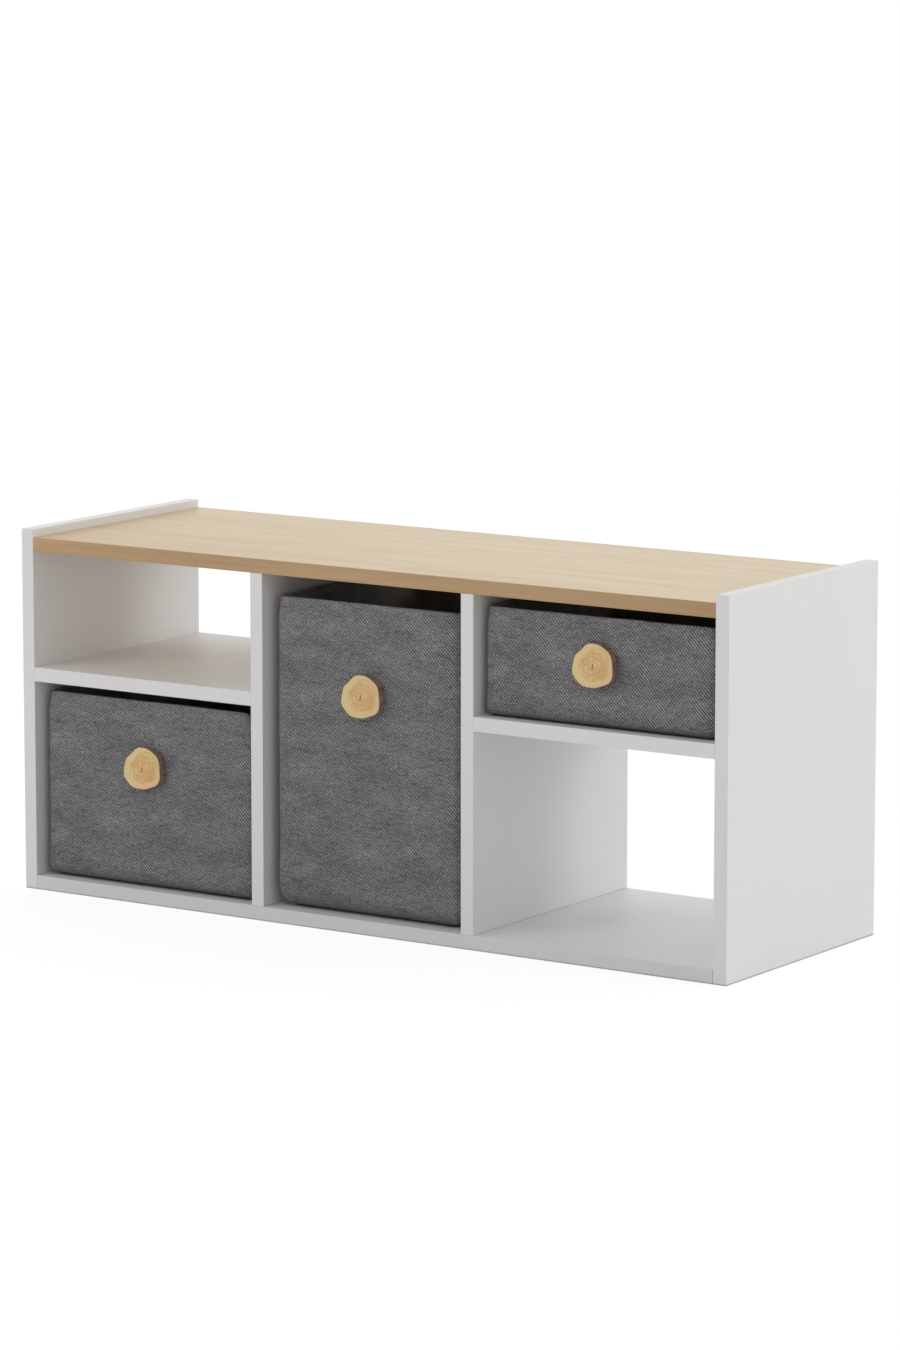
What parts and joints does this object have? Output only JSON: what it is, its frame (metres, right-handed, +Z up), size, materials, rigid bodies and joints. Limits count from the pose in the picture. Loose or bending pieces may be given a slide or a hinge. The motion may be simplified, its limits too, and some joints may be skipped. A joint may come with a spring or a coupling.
{
  "type": "toy cabinet",
  "caption": "Low white toy cabinet with an oak-faced top, open bays and pull-out fabric bins that have round wood-slice knobs.",
  "frame": {"origin": "on the floor, under the middle of the cabinet", "axes": "+X to the right seen from the front, +Y from the front to the back, +Z up"},
  "size_m": [1.04, 0.35, 0.462],
  "materials": {
    "white_board": "white melamine facing on chipboard, satin",
    "white_band": "white edge band, satin",
    "oak_board": "light oak melamine facing on chipboard, fine grain, satin",
    "oak_band": "oak print edge band, satin",
    "cam_zinc": "die-cast zinc, bare",
    "bolt_steel": "zinc-plated steel",
    "beech": "plain beech",
    "bin_fabric": "heathered grey twill",
    "bin_lining": "black felted non-woven",
    "grey_board": "pressed grey board",
    "branch_wood": "sawn branch slice, rings on the face and bark on the rim, sealed",
    "screw_steel": "zinc-plated steel"
  },
  "bodies": {
    "cabinet": {"bottom_edge_bands": "white_band", "bottom_panel": "white_board", "cam_bolts": "bolt_steel", "cam_locks": "cam_zinc", "dowels": "beech", "left_divider": "white_board", "left_divider_edge_bands": "white_band", "left_shelf": "white_board", "left_shelf_edge_bands": "white_band", "left_side_edge_bands": "white_band", "left_side_panel": "white_board", "right_divider": "white_board", "right_divider_edge_bands": "white_band", "right_shelf": "white_board", "right_shelf_edge_bands": "white_band", "right_side_edge_bands": "white_band", "right_side_panel": "white_board", "top_edge_bands": "oak_band", "top_panel": "oak_board"},
    "left_bin": {"left_bin_base_board": "grey_board", "left_bin_cover": "bin_fabric", "left_bin_knob": "branch_wood", "left_bin_knob_screw": "screw_steel", "left_bin_knob_washer": "screw_steel", "left_bin_lining": "bin_lining", "left_bin_wall_boards": "grey_board"},
    "middle_bin": {"middle_bin_base_board": "grey_board", "middle_bin_cover": "bin_fabric", "middle_bin_knob": "branch_wood", "middle_bin_knob_screw": "screw_steel", "middle_bin_knob_washer": "screw_steel", "middle_bin_lining": "bin_lining", "middle_bin_wall_boards": "grey_board"},
    "right_bin": {"right_bin_base_board": "grey_board", "right_bin_cover": "bin_fabric", "right_bin_knob": "branch_wood", "right_bin_knob_screw": "screw_steel", "right_bin_knob_washer": "screw_steel", "right_bin_lining": "bin_lining", "right_bin_wall_boards": "grey_board"}
  },
  "joints": [
    {"name": "left_bin_slide", "type": "slide", "parent": "cabinet", "child": "left_bin", "axis": [0, -1, 0], "range_m": [-0.01, 0.345]},
    {"name": "middle_bin_slide", "type": "slide", "parent": "cabinet", "child": "middle_bin", "axis": [0, -1, 0], "range_m": [-0.01, 0.345]},
    {"name": "right_bin_slide", "type": "slide", "parent": "cabinet", "child": "right_bin", "axis": [0, -1, 0], "range_m": [-0.01, 0.345]}
  ]
}
